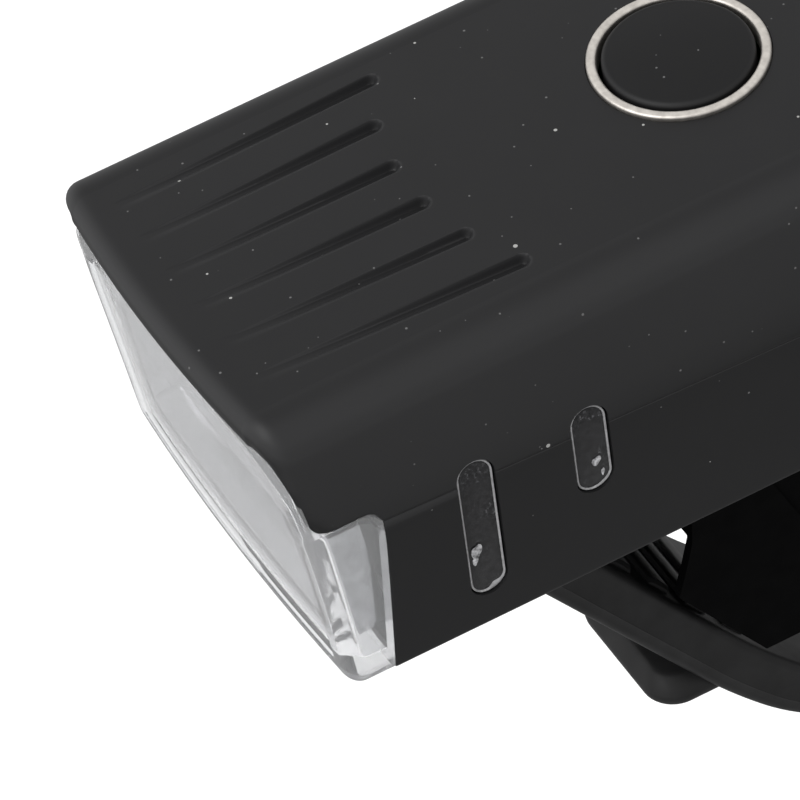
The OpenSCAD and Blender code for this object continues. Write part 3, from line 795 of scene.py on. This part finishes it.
def build_lens():
    out = lens_rows(0.0, 0.0, LENS_Y - 0.04, 1.3, 0.6)
    inn = lens_rows(2.0, 1.9, LENS_Y - 0.04, 0.6)
    n = len(out[0])
    v = np.concatenate(out + inn)
    f = grid_faces(n, len(out), close_u=True)
    off = n * len(out)
    f += grid_faces(n, len(inn), off=off, close_u=True)
    f.append(tuple(range(off - n, off)))
    f.append(tuple(range(len(v) - n, len(v))))
    f += [(i, (i + 1) % n, off + (i + 1) % n, off + i) for i in range(n)]
    o = seat(make("front_lens_clear", v, f, M_CLEAR, "head", angle=38.0))
    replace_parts(o, "front_lens")


def super_ring(cx, cz, a, b, e, k=96):
    out = []
    for i in range(k):
        t = 2 * math.pi * i / k
        c, s = math.cos(t), math.sin(t)
        out.append((cx + a * math.copysign(abs(c) ** (2 / e), c), cz + b * math.copysign(abs(s) ** (2 / e), s)))
    return out


def build_reflector():
    rows = []

    def row(y, a, b, e):
        rows.append([(x, y + 1.2 * (x / 14.0) ** 2 - (z - 36.0) * RAKE * (1.0 if y < -52 else 0.3), z) for x, z in super_ring(0.0, 35.8, a, b, e)])

    def flange(y, a, z0, z1, bow=0.75):
        ring = super_ring(0.0, (z0 + z1) / 2, a, (z1 - z0) / 2, 14)
        rows.append([(x, y + bow * (x / 20.0) ** 2 - (z - 30.0) * RAKE, z) for x, z in ring])

    row(-42.1, 14.2, 9.0, 12)
    row(-54.2, 14.2, 9.0, 12)
    flange(-54.3, 14.4, 26.6, 44.6)
    flange(-54.35, 16.2, 24.3, 37.2)
    flange(-54.5, 16.6, 23.9, 37.6)
    flange(-57.4, 16.6, 23.9, 37.6)
    flange(-57.6, 16.3, 24.2, 37.3)
    # a groove round the front of the flange
    flange(-57.6, 15.5, 25.0, 37.4)
    flange(-56.6, 15.4, 25.1, 37.4)
    flange(-56.6, 14.8, 25.7, 37.5)
    flange(-57.6, 14.7, 25.8, 37.5)
    flange(-57.6, 14.2, 26.5, 37.6)
    row(-57.3, 13.6, 8.4, 14)
    row(-57.0, 13.4, 8.2, 14)
    # straight walls of the cup, then the bowl
    row(-52.1, 13.0, 7.9, 14)
    row(-51.9, 12.7, 7.6, 12)
    for i in range(1, 13):
        t = i / 12
        s = (1 - t) ** 0.5
        row(-51.9 + 9.3 * t, 2.9 + 9.8 * s, 2.9 + 4.7 * s, 2 + 8 * (1 - t) ** 1.5)
    n = len(rows[0])
    v = [p for r in rows for p in r]
    f = grid_faces(n, len(rows), close_u=True)
    last = (len(rows) - 1) * n
    f += [(last + i, last + (i + 1) % n, (i + 1) % n, i) for i in range(n)]
    o = seat(make("reflector_bowl", v, f, M_REFL, "head", angle=40.0))
    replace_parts(o, "reflector")


build_lens()
build_reflector()

# ---------------------------------------------------------------- strap
HALF_T, HALF_W = 2.4, 8.5
RUN_A, BEND_A, BEND_R = math.radians(-55.0), math.radians(-48.0), 70.0
RUN_END, PIN = np.array([-26.03, -7.08]), np.array([24.0, 8.7])


def left(h):
    return np.array([-math.sin(h), math.cos(h)])


RUN_D = np.array([math.cos(RUN_A), math.sin(RUN_A)])
BEND_C = RUN_END + BEND_R * left(RUN_A)
HOOP_P = BEND_C - BEND_R * left(BEND_A)
HOOP_R = float((PIN - HOOP_P) @ (PIN - HOOP_P) / (2 * (PIN - HOOP_P) @ left(BEND_A)))
HOOP_C = HOOP_P + HOOP_R * left(BEND_A)


def on_run(t, z):
    """Point on the straight front run at height z, t outward of its middle."""
    s = RUN_END - t * left(RUN_A)
    return s + RUN_D * (z - s[1]) / RUN_D[1]


def strap_line():
    """Centre line of the strap in (y, z) with half-width and half-thickness, front tip to pin eye."""
    corner, tip = on_run(0.0, 15.5), np.array([-50.9, 15.5])
    a, b = corner - [3.0, 0.0], corner + RUN_D * 3.0
    pts = []
    for t in np.linspace(0, 1, 8):
        pts.append((tip * (1 - t) + a * t, 1.5))
    for t in np.linspace(0, 1, 12)[1:]:
        pts.append((a * (1 - t) ** 2 + 2 * corner * t * (1 - t) + b * t * t, 1.5 + (HALF_T - 1.5) * t))
    for t in np.linspace(0, 1, 24)[1:]:
        pts.append((b * (1 - t) + RUN_END * t, HALF_T))
    for t in np.linspace(0, 1, 8)[1:]:
        pts.append((BEND_C - BEND_R * left(RUN_A + (BEND_A - RUN_A) * t), HALF_T))
    end = math.radians(101.0)
    for t in np.linspace(0, 1, 72)[1:]:
        g = BEND_A + (end - BEND_A) * t
        pts.append((HOOP_C - HOOP_R * left(g), HALF_T - 0.8 * float(smoothstep(math.radians(56), math.radians(68), g))))
    c = np.array([p for p, h in pts])
    h = np.array([h for p, h in pts])
    s = np.concatenate([[0], np.cumsum(np.linalg.norm(np.diff(c, axis=0), axis=1))])
    w = HALF_W - (HALF_W - 5.9) * smoothstep(s[-1] - 19.5, s[-1] - 13.0, s)
    return c, h, w


def build_strap():
    c, h, w = strap_line()
    d = np.gradient(c, axis=0)
    d /= np.linalg.norm(d, axis=1)[:, None]
    nrm = np.stack([d[:, 1], -d[:, 0]], 1)
    rows = []
    for i in range(len(c)):
        hh, ww, r = h[i], w[i], 0.75
        loop = []
        for sx, sh in ((1, 1), (-1, 1), (-1, -1), (1, -1)):
            base = {(1, 1): 0, (-1, 1): 90, (-1, -1): 180, (1, -1): 270}[(sx, sh)]
            for k in range(6):
                a = math.radians(base + 90 * k / 5)
                loop.append((sx * (ww - r) + r * math.cos(a), sh * (hh - r) + r * math.sin(a)))
            if (sx, sh) in ((-1, 1), (1, -1)):
                # mould line along the edge, nearer to the outer face
                for q in (0.14, 0.0, -0.14):
                    loop.append((sx * (ww + (0.10 if q == 0 else 0.0)), 0.4 * hh + q * (1 if sx < 0 else -1)))
        rows.append([(x, c[i][0] + nrm[i][0] * t, c[i][1] + nrm[i][1] * t) for x, t in loop])
    n = len(rows[0])
    v = [p for r in rows for p in r]
    f = grid_faces(n, len(rows), close_u=True)
    f.append(tuple(range(n)))
    f.append(tuple(range(len(v) - n, len(v))))
    o = make("strap_band", v, f, M_RUB, "strap_loop", angle=38.0)
    slot = [(p, q) for p, q in [(x, y) for y, x in stadium(0.0, 0.0, 6.0, 4.6)]]
    cut(o, [prism("t", [(y, x - 46.3) for x, y in slot], "z", 12.0, 19.0)], 38.0)
    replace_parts(o, "strap")
    # eye round the pin
    prof = [(1.56, -5.9)] + [(3.6, -5.9), (4.0, -5.5), (4.0, 5.5), (3.6, 5.9)] + [(1.56, 5.9)]
    k = 64
    v, f = [], []
    m = len(prof)
    for i in range(k):
        a = 2 * math.pi * i / k
        v += [(x, 24.0 + r * math.cos(a), 8.7 + r * math.sin(a)) for r, x in prof]
    for i in range(k):
        for j in range(m):
            f.append((i * m + j, i * m + (j + 1) % m, ((i + 1) % k) * m + (j + 1) % m, ((i + 1) % k) * m + j))
    o = make("strap_eye", v, f, M_RUB, "strap_loop", angle=30.0)
    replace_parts(o, "strap")
    # cross ribs on the inner face of the straight run
    v, f = [], []
    for k in range(5):
        p0 = on_run(-HALF_T, 13.5 - 4.5 * k) + 1.5 * RUN_D
        for j in range(9):
            a = math.pi * j / 8
            off = -1.5 * math.copysign(abs(math.cos(a)) ** 0.5, math.cos(a))
            rise = 0.6 * math.sin(a) ** 0.5 if 0 < j < 8 else -0.3
            for x in (-7.0, -6.7, 6.7, 7.0):
                low = 0.0 if abs(x) < 6.9 else 0.3
                p = p0 + left(RUN_A) * max(rise - low, -0.3) + RUN_D * off
                v.append((x, p[0], p[1]))
        o4 = k * 36
        f += grid_faces(4, 9, off=o4)
        f.append(tuple(o4 + 4 * j for j in range(9)))
        f.append(tuple(o4 + 4 * j + 3 for j in range(8, -1, -1)))
        f.append((o4, o4 + 1, o4 + 2, o4 + 3, o4 + 35, o4 + 34, o4 + 33, o4 + 32))
    o = make("strap_ribs", v, f, M_RUB, "strap_loop", angle=35.0)
    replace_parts(o, "strap")
    # pull tab
    outline = []
    for cx, cy, a0 in ((4.8, -28.9, 270), (7.8, -24.5, None), (-7.8, -24.5, None), (-4.8, -28.9, 180)):
        if a0 is None:
            outline.append((cx, cy))
        else:
            outline += [(cx + 3.0 * math.cos(math.radians(a0 + 90 * i / 10)), cy + 3.0 * math.sin(math.radians(a0 + 90 * i / 10))) for i in range(11)]
    pts = np.array(outline)
    mid = np.array([0.0, -27.0])
    rows = []
    # sloping front and sides, rounded under edge
    for z, s in ((-11.3, 0.6), (-11.2, 0.28), (-10.95, 0.08), (-10.6, 0.0), (-10.3, 0.0), (-10.1, 0.08), (-8.95, 1.35), (-8.8, 1.6), (-8.7, 2.0)):
        e = pts - mid
        q = mid + e * (1 - s / np.maximum(np.linalg.norm(e, axis=1), 1e-6))[:, None]
        rows.append([(x, y, z) for x, y in q])
    n = len(rows[0])
    v = [p for r in rows for p in r]
    f = grid_faces(n, len(rows), close_u=True)
    f += [tuple(range(n)), tuple(range(len(v) - n, len(v)))]
    o = make("strap_pull_tab", v, f, M_RUB, "strap_loop", angle=40.0)
    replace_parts(o, "strap")


build_strap()

# ---------------------------------------------------------------- materials of the CAD pieces that stay
KEEP = {
    "body_gasket": M_SEAL, "lens_gasket": M_SEAL, "button_seal": M_SEAL,
    "led_board": M_WHITE, "led_emitter": M_PHOS, "heat_sink": M_ALU,
    "tact_switch": M_BRK_SHADED, "switch_plunger": M_CREAM, "main_board": M_PCB, "board_screws": M_STEEL,
    "battery_cell": M_CELL, "battery_cradle": M_BRK_SHADED, "usb_board": M_PCB, "usb_port": M_STEEL,
    "usb_cover": M_RUB, "usb_hinge_pin": M_STEEL, "housing_screws": M_STEEL,
    "slide_shoe": M_BRK_SHADED, "shoe_screws": M_STEEL, "bracket_base": M_BRK_SHADED, "saddle_pad": M_RUB,
    "strap_pin": M_STEEL, "release_lever": M_BRK_SHADED, "lever_pin": M_STEEL,
}
for name, mat in KEEP.items():
    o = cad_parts[name]
    o.data.materials.clear()
    o.data.materials.append(mat)
for name in ("bracket_base", "saddle_pad", "release_lever", "slide_shoe", "usb_cover"):
    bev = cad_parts[name].modifiers.new("soft_edges", "BEVEL")
    bev.width, bev.segments, bev.limit_method, bev.angle_limit = 0.35 * MM, 3, "ANGLE", math.radians(40.0)

# ---------------------------------------------------------------- camera
AZ, EL, ROLL = math.radians(68.237), math.radians(45.124), math.radians(9.591)
DIST, FPX = 595.4, 7447.3
right = Vector((math.cos(AZ), math.sin(AZ), 0))
up = Vector((-math.sin(AZ) * math.sin(EL), math.cos(AZ) * math.sin(EL), math.cos(EL)))
back = Vector((math.sin(AZ) * math.cos(EL), -math.cos(AZ) * math.cos(EL), math.sin(EL)))
r2 = right * math.cos(ROLL) - up * math.sin(ROLL)
u2 = right * math.sin(ROLL) + up * math.cos(ROLL)
ppm = FPX / DIST
eye = Vector((0, BTN[1] - 5.0, 53.3)) + back * DIST - r2 * ((678.13 - 400) / ppm) - u2 * ((400 - 51.894) / ppm)
cam = bpy.data.objects.new("camera", bpy.data.cameras.new("camera"))
scene.collection.objects.link(cam)
m = Matrix((r2, u2, back)).transposed().to_4x4()
m.translation = eye * MM
cam.matrix_world = m
cam.data.sensor_width = 36.0
cam.data.lens = FPX / 800.0 * 36.0
cam.data.clip_start, cam.data.clip_end = 0.05, 20.0
scene.camera = cam

# ---------------------------------------------------------------- studio
floor_n = Nodes("studio_floor")
floor_n.link(floor_n.ramp(floor_n.noise(3.0, 2.0), [(0.3, (0.93, 0.93, 0.93)), (0.7, (0.95, 0.95, 0.95))]), floor_n.bsdf.inputs["Base Color"])
floor_n.set(Roughness=0.9)
S, FZ = 4.0, -0.20
me = bpy.data.meshes.new("studio_floor")
me.from_pydata([(-S, -S, FZ), (S, -S, FZ), (S, S, FZ), (-S, S, FZ)], [], [(0, 1, 2, 3)])
floor = bpy.data.objects.new("studio_floor", me)
me.materials.append(floor_n.mat)
scene.collection.objects.link(floor)
# the floor is left out of mirror reflections, as a lit sweep far below would be
floor.visible_glossy = False

world = bpy.data.worlds.new("studio_world")
scene.world = world
world.use_nodes = True
bg = next(n for n in world.node_tree.nodes if n.type == "BACKGROUND")
# soft-box room: bright from above and the far left, dark from the near side
wt = world.node_tree
co = wt.nodes.new("ShaderNodeTexCoord")
dot = wt.nodes.new("ShaderNodeVectorMath")
dot.operation = "DOT_PRODUCT"
dot.inputs[1].default_value = Vector((-0.30, -0.20, 0.93)).normalized()
wt.links.new(co.outputs["Generated"], dot.inputs[0])
rng = wt.nodes.new("ShaderNodeMapRange")
rng.inputs["From Min"].default_value, rng.inputs["From Max"].default_value = -0.35, 0.75
rng.inputs["To Min"].default_value, rng.inputs["To Max"].default_value = 0.40, 1.20
wt.links.new(dot.outputs["Value"], rng.inputs["Value"])
wt.links.new(rng.outputs[0], bg.inputs["Strength"])
bg.inputs["Color"].default_value = (1.0, 1.0, 1.0, 1.0)


def area(name, loc, target, size, power):
    d = bpy.data.lights.new(name, "AREA")
    d.shape, d.size, d.size_y, d.energy = "RECTANGLE", size[0], size[1], power
    o = bpy.data.objects.new(name, d)
    scene.collection.objects.link(o)
    o.location = loc
    o.rotation_mode = "QUATERNION"
    o.rotation_quaternion = (Vector(target) - Vector(loc)).to_track_quat("-Z", "Y")
    return o


area("key", (0.1, -0.5, 0.6), (0, -0.02, 0.03), (0.5, 0.5), 3.0)
scene.view_settings.view_transform = "Standard"
